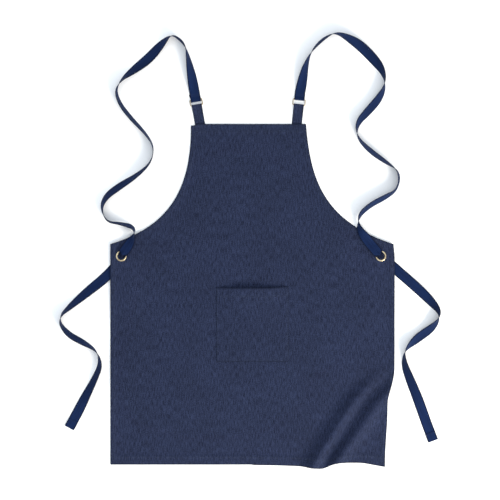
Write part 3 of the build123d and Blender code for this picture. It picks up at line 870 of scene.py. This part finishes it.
# %% The rings
def wire_loop(name, line, radius, material, slot, around=20):
    """A closed round wire along a closed line."""
    ahead = np.roll(line, -1, axis=0) - np.roll(line, 1, axis=0)
    ahead /= np.linalg.norm(ahead, axis=1)[:, None]
    up = np.tile([0.0, 0.0, 1.0], (len(line), 1))
    out = np.cross(ahead, up)
    angle = np.linspace(0, 2 * pi, around, endpoint=False)
    section = np.cos(angle)[:, None] * out[:, None, :] + np.sin(angle)[:, None] * up[:, None, :]
    points = line[:, None, :] + radius * section
    index = np.arange(len(line) * around).reshape(len(line), around)
    ahead_of, after = np.roll(index, -1, axis=0), np.roll(index, -1, axis=1)
    both = np.roll(ahead_of, -1, axis=1)
    faces = np.stack([index, ahead_of, both, after], axis=-1).reshape(-1, 4)
    uv = np.zeros((index.size, 2))
    return make_piece(name, points.reshape(-1, 3), faces, uv, material, slot)


def ring_line(side):
    """The middle of a ring's wire, once round."""
    half = ring_width / 2 - ring_bend
    low, high = tab_reach + ring_bend, tab_reach + bar_gap - ring_bend
    corners = ((half, high, 0), (-half, high, pi / 2), (-half, low, pi), (half, low, 1.5 * pi))
    angle = np.linspace(0, pi / 2, 10)
    across = np.concatenate([x + ring_bend * np.cos(start + angle) for x, _, start in corners])
    along = np.concatenate([y + ring_bend * np.sin(start + angle) for _, y, start in corners])
    return beside_bib(side, along, across, bar_height)


for side in sides:
    ring = wire_loop(f"{side}_wire_ring", ring_line(side), wire / 2, ring_brass, "ring_brass")
    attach(ring, f"{side}_ring_link")
    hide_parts(f"{side}_ring")

# %% [markdown]
# ## Straps
# A strap's route is a short list of given points: where it is, how far it rolls
# over (0 lies flat, 90 stands on edge) and how far it is lifted. A NURBS spline turns
# the list into one smooth line, and a second spline with the same knots carries the roll
# and the lift along with it. The ribbon then rests its lower edge on the floor.

# %% The routes
left_route = [
    (-141, 461, 0, 1.3), (-145, 486, 22, 0.5), (-151, 518, 50, 0), (-156, 544, 72, 0),
    (-161, 566, 93, 0), (-174, 582, 99, 0), (-195, 595, 86, 0), (-219, 572, 36, 0),
    (-251, 537, 6, 0), (-290, 506, 38, 0), (-316, 485, 72, 0), (-330, 460, 97, 0),
    (-320, 428, 109, 0), (-293, 393, 113, 0), (-260, 359, 105, 0), (-237, 326, 92, 0),
    (-243, 287, 79, 0), (-278, 255, 62, 0), (-321, 229, 42, 0), (-354, 204, 50, 0),
    (-365, 175, 74, 0), (-351, 143, 96, 0), (-318, 140, 106, 1), (-286, 131, 118, 5),
    (-284, 109, 66, 7.5), (-298.5, 87, 2, 8.5), (-311.5, 69, 0, 10.5), (-319.5, 55, 0, 0),
    (-333, 32, 0, 0), (-360, 5, 6, 0), (-390, -19, 20, 0), (-432, -54, 48, 0),
    (-470, -89, 84, 0), (-447, -126, 118, 0), (-408, -147, 120, 0), (-374, -167, 88, 0),
    (-365, -200, 58, 0), (-380, -235, 50, 0), (-401, -275, 30, 0), (-422, -316, 0, 0),
    (-442, -353, 0, 0),
]
right_route = [
    (116, 462, 0, 1.3), (121, 488, 26, 0.5), (127, 516, 54, 0), (136, 542, 82, 0),
    (151, 565, 106, 0), (173, 586, 110, 0), (199, 600, 94, 0), (229, 588, 60, 0),
    (260, 569, 20, 0), (291, 538, 20, 0), (314, 508, 62, 0), (321, 475, 98, 0),
    (306, 442, 138, 0), (281, 413, 142, 0), (251, 381, 120, 0), (251, 347, 86, 0),
    (283, 314, 66, 0), (323, 286, 74, 0), (355, 264, 110, 0), (350, 221, 98, 0),
    (318, 202, 120, 0), (283, 184, 119, 1), (254, 158, 116, 5), (255, 128, 64, 7.5),
    (279, 96, 0, 8.5), (302.7, 68, 0, 10.5), (313.7, 57, 0, 0), (332, 42, 0, 0),
    (361, 16, 4, 0), (390, -9, 8, 0), (428, -45, 30, 0), (455, -78, 80, 0),
    (436, -110, 144, 0), (400, -135, 160, 0), (366, -164, 104, 0), (365, -198, 58, 0),
    (380, -237, 34, 0), (397, -278, 20, 0), (411, -316, 0, 0), (423, -350, 0, 0),
    (436, -384, 0, 0),
]
routes = {"left": left_route, "right": right_route}
strap_width, strap_thick = 25 * MM, 1.3 * MM
bunched_to, flat_from = 2 * MM, 14 * MM      # distances from the eyelet's middle
lifted_by, low_pleats, pleats_within = 2 * MM, 0.35, 60 * MM


# %% From the points to a smooth line
def spline_points(name, controls):
    """The points of a NURBS spline of order three that these points control."""
    curve = bpy.data.curves.new(name, "CURVE")
    curve.dimensions = "3D"
    spline = curve.splines.new("NURBS")
    spline.points.add(len(controls) - 1)
    for point, place in zip(spline.points, controls):
        point.co = (*place, 1)
    spline.order_u = 3
    spline.use_endpoint_u = True
    spline.resolution_u = 12
    holder = bpy.data.objects.new(name, curve)
    mesh = bpy.data.meshes.new_from_object(holder)
    points = np.array([vertex.co for vertex in mesh.vertices], dtype=float)
    bpy.data.meshes.remove(mesh)
    bpy.data.objects.remove(holder)
    bpy.data.curves.remove(curve)
    return points


def lay_strap(side):
    """The strap's line, its broad direction, and how it is squeezed at the eyelet."""
    route = np.array(routes[side], dtype=float)
    plan = spline_points("strap_plan", route[:, [0, 1, 3]] * MM)
    roll = np.radians(spline_points("strap_roll", np.pad(route[:, 2:3], ((0, 0), (0, 2))))[:, 0])
    away = np.linalg.norm(plan[:, :2] - eyelet_place[side], axis=1)
    opened = smoothstep(away, bunched_to, flat_from)
    chord = bunched_width + (strap_width - bunched_width) * opened
    pleat = np.array([pleat_height(strap_width, one) for one in chord])
    room = np.where(plan[:, 2] > lifted_by, 1.0, low_pleats)
    pleat = pleat * np.where(away < pleats_within, room, 1.0)
    for _ in range(3):
        pleat[1:-1] = (pleat[:-2] + 2 * pleat[1:-1] + pleat[2:]) / 4
    flat = pleat + strap_thick / 2
    rest = chord / 2 * np.abs(np.sin(roll)) + flat * np.abs(np.cos(roll))
    line = np.stack([plan[:, 0], plan[:, 1], plan[:, 2] + rest], axis=1)
    ahead = np.gradient(line, axis=0)
    ahead /= np.linalg.norm(ahead, axis=1)[:, None]
    level = np.stack([-ahead[:, 1], ahead[:, 0], 0 * ahead[:, 0]], axis=1)
    level /= np.linalg.norm(level, axis=1)[:, None]
    upright = np.cross(ahead, level)
    broad = level * np.cos(roll)[:, None] + upright * np.sin(roll)[:, None]
    return line, broad, chord, pleat


laid = {side: lay_strap(side) for side in sides}
for side in sides:
    print(side, "strap:", len(laid[side][0]), "points along its line")


# %% [markdown]
# ## Where a strap starts and ends
# A strap starts below its own loop, goes round the ring's upper bar and runs off over its
# first few hand-spans. That stretch is a ribbon of its own that turns smoothly from the
# ring to the apron. The rest lies still, and its end is turned back on itself and sewn.

# %% The straps
loop_fold_end, loop_sewn_from, loop_end = 14 * MM, 6.05 * MM, 20 * MM
loop_slack = {"left": 3.5 * MM, "right": 0.3 * MM}
loop_askew = {"left": -1.8 * MM, "right": 0.5 * MM}
tail_turned = 20 * MM
first_stretch = 98              # points of the strap's line in its first stretch, next to its ring


def length_of(line):
    return float(np.linalg.norm(np.diff(line, axis=0), axis=1).sum())


def with_loop(side, line, broad, chord, pleat):
    """The first stretch of strap, with the loop round the ring's bar before it."""
    upper, layer = tab_reach + bar_gap, strap_thick / 2
    turn = fold_round(-loop_slack[side], bar_height - layer, -1)
    along, height = run_of(
        ([loop_fold_end, 2 * MM], [layer, layer]), turn,
        ([loop_sewn_from, loop_end - 2 * MM], [3 * layer, 3 * layer]),
    )
    under = height < strap_thick
    askew = loop_askew[side] * smoothstep(along, 2 * MM, loop_fold_end) * under
    loop = beside_bib(side, upper + along, askew, height)
    count = len(loop)
    return (
        np.concatenate([loop, line]),
        np.concatenate([sideways(side, count), broad]),
        np.concatenate([np.full(count, strap_width), chord]),
        np.concatenate([np.zeros(count), pleat]),
    )


def with_turned_end(line, broad, chord, pleat):
    """The rest of the strap, with its end turned back on top of it."""
    back = -(line[-1] - line[-2]) / np.linalg.norm(line[-1] - line[-2])
    angle = np.linspace(-pi / 2, pi / 2, 9)[1:, None]
    layer = strap_thick / 2
    lifted = np.array([0, 0, layer])
    turn = line[-1] - back * layer * np.cos(angle) + lifted + lifted * np.sin(angle)
    steps = np.linspace(1 * MM, tail_turned, 16)[:, None]
    flap = turn[-1] + back * steps
    extra = np.concatenate([turn, flap])
    count = len(extra)
    return (
        np.concatenate([line, extra]),
        np.concatenate([broad, np.tile(broad[-1], (count, 1))]),
        np.concatenate([chord, np.full(count, strap_width)]),
        np.concatenate([pleat, np.zeros(count)]),
    )


strap_pieces, strap_leads = {}, {}
for side in sides:
    start = with_loop(side, *(values[:first_stretch + 1] for values in laid[side]))
    rest = with_turned_end(*(values[first_stretch:] for values in laid[side]))
    lead = ribbon(
        f"{side}_strap_lead", start[0], start[1], strap_width, strap_thick,
        webbing, "webbing", start[2], start[3],
    )
    strap = ribbon(
        f"{side}_webbing_strap", rest[0], rest[1], strap_width, strap_thick,
        webbing, "webbing", rest[2], rest[3], start=length_of(start[0]),
    )
    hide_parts(f"{side}_strap_loop")
    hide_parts(f"{side}_strap", f"{side}_tail_hem")
    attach(strap, "apron")
    strap_leads[side], strap_pieces[side] = (lead, start[0]), (strap, rest[0])
    print(f"{side} strap: {length_of(start[0]) + length_of(rest[0]):.3f} m of webbing")

# %% The first stretch of each strap, and a list of the lengths of webbing
cords = []
for side in sides:
    lead, lead_line = strap_leads[side]
    strap, strap_line = strap_pieces[side]
    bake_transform(lead)
    cords += [lead, strap]
print(len(cords), "lengths of webbing declared")

# %% [markdown]
# ## Eyelets
# An eyelet is a brass tube with a domed flange, pushed through the cloth and rolled over
# a washer behind it. Its profile is turned once round, so it is perfectly smooth.

# %% The eyelets
bore, flange, barrel_wall = 9 * MM, 12.9 * MM, 0.5 * MM
border_top = hem_stack + cloth + strap_rise
barrel_foot = hem_stack + strap_rise - 1.0 * MM


def eyelet_profile():
    """Radius and height round the section of the brass, as a closed line."""
    angle = np.linspace(0, pi, 15)
    dome_middle, dome_half = (bore + flange) / 2, (flange - bore) / 2
    dome_height = border_top + 0.25 * MM + 1.35 * MM * np.sin(angle) ** 0.8
    dome = np.stack([dome_middle - dome_half * np.cos(angle), dome_height], axis=1)
    under = np.array([
        (flange - 0.35 * MM, border_top - 0.05 * MM), (flange - 1.2 * MM, border_top + 0.1 * MM),
        (bore + 1.3 * MM, border_top + 0.1 * MM), (bore + barrel_wall, border_top - 0.5 * MM),
        (bore + barrel_wall, barrel_foot + 0.5 * MM), (bore + 1.75 * MM, barrel_foot + 0.4 * MM),
        (bore + 1.75 * MM, barrel_foot), (bore + 0.3 * MM, barrel_foot - 0.1 * MM),
        (bore, barrel_foot + 0.2 * MM), (bore, border_top - 0.4 * MM),
    ])
    return np.concatenate([dome, under])


def turned_piece(name, profile, centre, material, slot, around=72):
    """A closed profile turned once round an upright axis."""
    angle = np.linspace(0, 2 * pi, around, endpoint=False)
    x = centre[0] + profile[:, 0] * np.cos(angle)[:, None]
    y = centre[1] + profile[:, 0] * np.sin(angle)[:, None]
    points = np.stack([x, y, np.broadcast_to(profile[:, 1], x.shape)], axis=-1)
    index = np.arange(x.size).reshape(x.shape)
    on, after = np.roll(index, -1, axis=0), np.roll(index, -1, axis=1)
    faces = np.stack([index, after, np.roll(on, -1, axis=1), on], axis=-1).reshape(-1, 4)
    uv = np.zeros((index.size, 2))
    return make_piece(name, points.reshape(-1, 3), faces, uv, material, slot, sharp=50)


for side in sides:
    eyelet = turned_piece(
        f"{side}_rolled_eyelet", eyelet_profile(), eyelet_place[side],
        eyelet_brass, "eyelet_brass",
    )
    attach(eyelet, "apron")
    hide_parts(f"{side}_eyelet_grommet")
    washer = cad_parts[f"{side}_eyelet_washer"]
    washer.data.materials.clear()
    washer.data.materials.append(eyelet_brass)
print("two eyelets, each over its washer")

# %% [markdown]
# ## Stitching
# A line of stitching is one small thread lump, repeated at an even pitch along a seam.
# That is work for Geometry Nodes: the seam is a curve, the nodes cut it into points, put
# a lump on each, turned along the seam and slightly uneven, and realise the copies. The
# result is then turned into a plain mesh, so that nothing is left to be worked out.

# %% The stitch nodes
def stitch_tree():
    """Nodes that put a stitch at every step along a curve."""
    tree = bpy.data.node_groups.new("stitches_along_seam", "GeometryNodeTree")
    face = tree.interface
    face.new_socket(name="Seam", in_out="INPUT", socket_type="NodeSocketGeometry")
    for name in ("Pitch", "Stitch length", "Thread width", "Thread height"):
        face.new_socket(name=name, in_out="INPUT", socket_type="NodeSocketFloat")
    face.new_socket(name="Seed", in_out="INPUT", socket_type="NodeSocketInt")
    face.new_socket(name="Thread", in_out="INPUT", socket_type="NodeSocketMaterial")
    face.new_socket(name="Stitches", in_out="OUTPUT", socket_type="NodeSocketGeometry")
    given = tree.nodes.new("NodeGroupInput").outputs
    steps = {"Curve": given["Seam"], "Length": given["Pitch"]}
    points = add(tree, "GeometryNodeCurveToPoints", steps, mode="LENGTH")
    tangent = points.node.outputs["Tangent"]
    lump = add(tree, "GeometryNodeMeshUVSphere", {"Segments": 8, "Rings": 5, "Radius": 0.5})
    size = add(tree, "ShaderNodeCombineXYZ", {
        "X": given["Stitch length"], "Y": given["Thread width"], "Z": given["Thread height"],
    })
    uneven = add(tree, "FunctionNodeRandomValue", {
        0: (0.88, 0.9, 0.85), 1: (1.08, 1.1, 1.1), "Seed": given["Seed"],
    }, data_type="FLOAT_VECTOR")
    size = add(tree, "ShaderNodeVectorMath", {0: size, 1: uneven}, operation="MULTIPLY")
    turned = add(tree, "FunctionNodeAlignRotationToVector", {"Vector": tangent}, axis="X")
    placed = add(tree, "GeometryNodeInstanceOnPoints", {
        "Points": points, "Instance": lump, "Rotation": turned, "Scale": size,
    })
    real = add(tree, "GeometryNodeRealizeInstances", {"Geometry": placed})
    smooth = add(tree, "GeometryNodeSetShadeSmooth", {"Geometry": real})
    done = add(tree, "GeometryNodeSetMaterial", {"Geometry": smooth, "Material": given["Thread"]})
    tree.links.new(done, tree.nodes.new("NodeGroupOutput").inputs[0])
    return tree


stitch_nodes = stitch_tree()
stitch_sizes = {
    "Pitch": 3.1 * MM, "Stitch length": 2.75 * MM, "Thread width": 0.75 * MM,
    "Thread height": 0.5 * MM, "Thread": thread,
}


# %% Sew a seam
def sew(name, seams, body, node, seed):
    """Stitches along these lines of points, as one plain mesh on a body."""
    curve = bpy.data.curves.new(name, "CURVE")
    curve.dimensions = "3D"
    for seam in seams:
        spline = curve.splines.new("POLY")
        spline.points.add(len(seam) - 1)
        spline.points.foreach_set("co", np.pad(seam, ((0, 0), (0, 1))).ravel())
    holder = bpy.data.objects.new(name + "_seam", curve)
    bpy.context.scene.collection.objects.link(holder)
    sewing = holder.modifiers.new("stitches", "NODES")
    sewing.node_group = stitch_nodes
    for socket in stitch_nodes.interface.items_tree:
        value = {**stitch_sizes, "Seed": seed}.get(socket.name)
        if value is not None:
            sewing[socket.identifier] = value
    ready = holder.evaluated_get(bpy.context.evaluated_depsgraph_get())
    mesh = bpy.data.meshes.new_from_object(ready)
    bpy.data.objects.remove(holder)
    bpy.data.curves.remove(curve)
    piece = bpy.data.objects.new(name, mesh)
    bpy.context.scene.collection.objects.link(piece)
    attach(piece, body)
    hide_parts(node)
    print(f"{name}: {len(mesh.polygons)} faces")
    return piece


def inset_line(line, inward, inset):
    return line[:, 0] + inward[:, 0] * inset, line[:, 1] + inward[:, 1] * inset


sunk = 0.05 * MM
bottom_x = np.linspace(1.5 * MM - side_x, side_x - 1.5 * MM, 300)
sew(
    "bottom_hem_stitches", [on_panel(bottom_x, np.full(300, hem_y + wide_seam), sunk)],
    "apron", "bottom_hem_stitching", 1,
)
bib_x = np.linspace(bib_corner["left"] + 1.5 * MM, bib_corner["right"] - 0.5 * MM, 140)
sew(
    "bib_hem_stitches", [on_panel(bib_x, np.full(140, bib_y - wide_seam), sunk)],
    "apron", "bib_hem_stitching", 2,
)
for side, sign in sides.items():
    skirt_y = np.linspace(hem_y + 1.5 * MM, waist_y - 5 * MM, 240)
    skirt_x = np.full(240, sign * (side_x - narrow_seam))
    sew(
        f"{side}_side_stitches", [on_panel(skirt_x, skirt_y, sunk)],
        "apron", f"{side}_side_stitching", 3,
    )
    armhole = armhole_line(side, 300)
    seam_x, seam_y = inset_line(armhole, inward_of(armhole, sign), narrow_seam)
    inside = (np.abs(seam_x) < side_x - 1.5 * MM) & (seam_y < bib_y - 1.5 * MM)
    sew(
        f"{side}_armhole_stitches", [on_panel(seam_x[inside], seam_y[inside], sunk)],
        "apron", f"{side}_armhole_stitching", 4,
    )

# %% Sew the pocket, the tabs and the straps
left_x, right_x = pocket_seam - pocket_half, pocket_half - pocket_seam
down = np.linspace(pocket_mouth - 1 * MM, pocket_foot + pocket_seam, 90)
along_foot = np.linspace(left_x, right_x, 90)
round_pocket = np.concatenate([
    on_pocket(np.full(90, left_x), down, sunk),
    on_pocket(along_foot, np.full(90, pocket_foot + pocket_seam), sunk),
    on_pocket(np.full(90, right_x), down[::-1], sunk),
])
hem_x = np.linspace(left_x + 1 * MM, right_x - 1 * MM, 90)
across_hem = on_pocket(hem_x, np.full(90, pocket_mouth - pocket_hem_depth), sunk - 0.25 * MM)
sew("pocket_stitches", [round_pocket, across_hem], "apron", "pocket_stitching", 5)

webbing_seam = 2 * MM
tab_seam_low, tab_seam_high = 2 * MM, 23 * MM
for side in sides:
    half = tab_width / 2 - webbing_seam
    reach = np.linspace(tab_seam_low, tab_seam_high, 12)
    top = 2 * cloth + 0.1 * MM
    rung = beside_bib(side, np.full(12, tab_seam_high), np.linspace(-half, half, 12), top)
    rails = [beside_bib(side, reach, sign * half, top) for sign in (-1, 1)]
    sew(f"{side}_tab_stitches", [rung, *rails], "apron", f"{side}_tab_stitching", 6)

    half = strap_width / 2 - webbing_seam
    upper = tab_reach + bar_gap
    rungs = [
        beside_bib(side, np.full(12, upper + at), np.linspace(-half, half, 12), 2 * strap_thick)
        for at in (loop_sewn_from + webbing_seam, loop_fold_end - webbing_seam)
    ]
    sew(f"{side}_loop_stitches", rungs, f"{side}_ring_link", f"{side}_loop_stitching", 7)
    line, broad, _, _ = laid[side]
    back = (line[-2] - line[-1]) / np.linalg.norm(line[-2] - line[-1])
    middle = line[-1] + back * (tail_turned - webbing_seam) + np.array([0, 0, 1.55 * strap_thick])
    rung = middle + broad[-1] * np.linspace(-half, half, 12)[:, None]
    sew(f"{side}_tail_stitches", [rung], "apron", f"{side}_tail_stitching", 8)

# %% [markdown]
# ## The cloth
# The panel and the pocket are closed sheets of denim, made above.

print("panel and pocket made as closed sheets")

# %% [markdown]
# ## Floor, light and camera
# The floor is plain and nearly white. One large soft lamp stands low beyond the lower
# right corner and models the folds, and an even pale sky fills the shadows. The camera
# looks straight down with a long lens, so that nothing is foreshortened.

# %% Floor
floor_mesh = bpy.data.meshes.new("floor")
floor_half = 6.0
turns = ((-1, -1), (1, -1), (1, 1), (-1, 1))
floor_corners = [(floor_half * x, floor_half * y, 0) for x, y in turns]
floor_mesh.from_pydata(floor_corners, [], [(0, 1, 2, 3)])
floor = bpy.data.objects.new("floor", floor_mesh)
bpy.context.scene.collection.objects.link(floor)
floor.location.z = -0.2 * MM
paper, _, _ = new_material("white_floor", Base_Color=(0.93, 0.93, 0.93, 1), Roughness=0.9)
floor_mesh.materials.append(paper)

# %% Light
scene = bpy.context.scene
scene.view_settings.view_transform = "Standard"
world = bpy.data.worlds.new("pale_sky")
world.use_nodes = True
sky = world.node_tree.nodes["Background"].inputs
sky["Color"].default_value = (0.88, 0.94, 1, 1)
sky["Strength"].default_value = 1.25
scene.world = world


def soft_lamp(name, place, aim, size, power, colour):
    """A square lamp that faces a point."""
    light = bpy.data.lights.new(name, "AREA")
    light.energy, light.size, light.color = power, size, colour
    lamp = bpy.data.objects.new(name, light)
    lamp.location = place
    lamp.rotation_euler = (Vector(aim) - Vector(place)).to_track_quat("-Z", "Y").to_euler()
    scene.collection.objects.link(lamp)


soft_lamp("key_lamp", (1.9, -2.2, 1.7), (0, 0, 0), 1.4, 148, (1.0, 0.92, 0.80))
print("one lamp and a pale sky")

# %% Camera
view_width, lens, sensor = 1.20775, 100.0, 36.0
camera_data = bpy.data.cameras.new("camera")
camera_data.lens, camera_data.sensor_width = lens, sensor
camera = bpy.data.objects.new("camera", camera_data)
camera.location = (-6.0 * MM, 75.7 * MM, view_width * lens / sensor)
scene.collection.objects.link(camera)
scene.camera = camera
print("camera", round(camera.location.z, 2), "m above the floor")
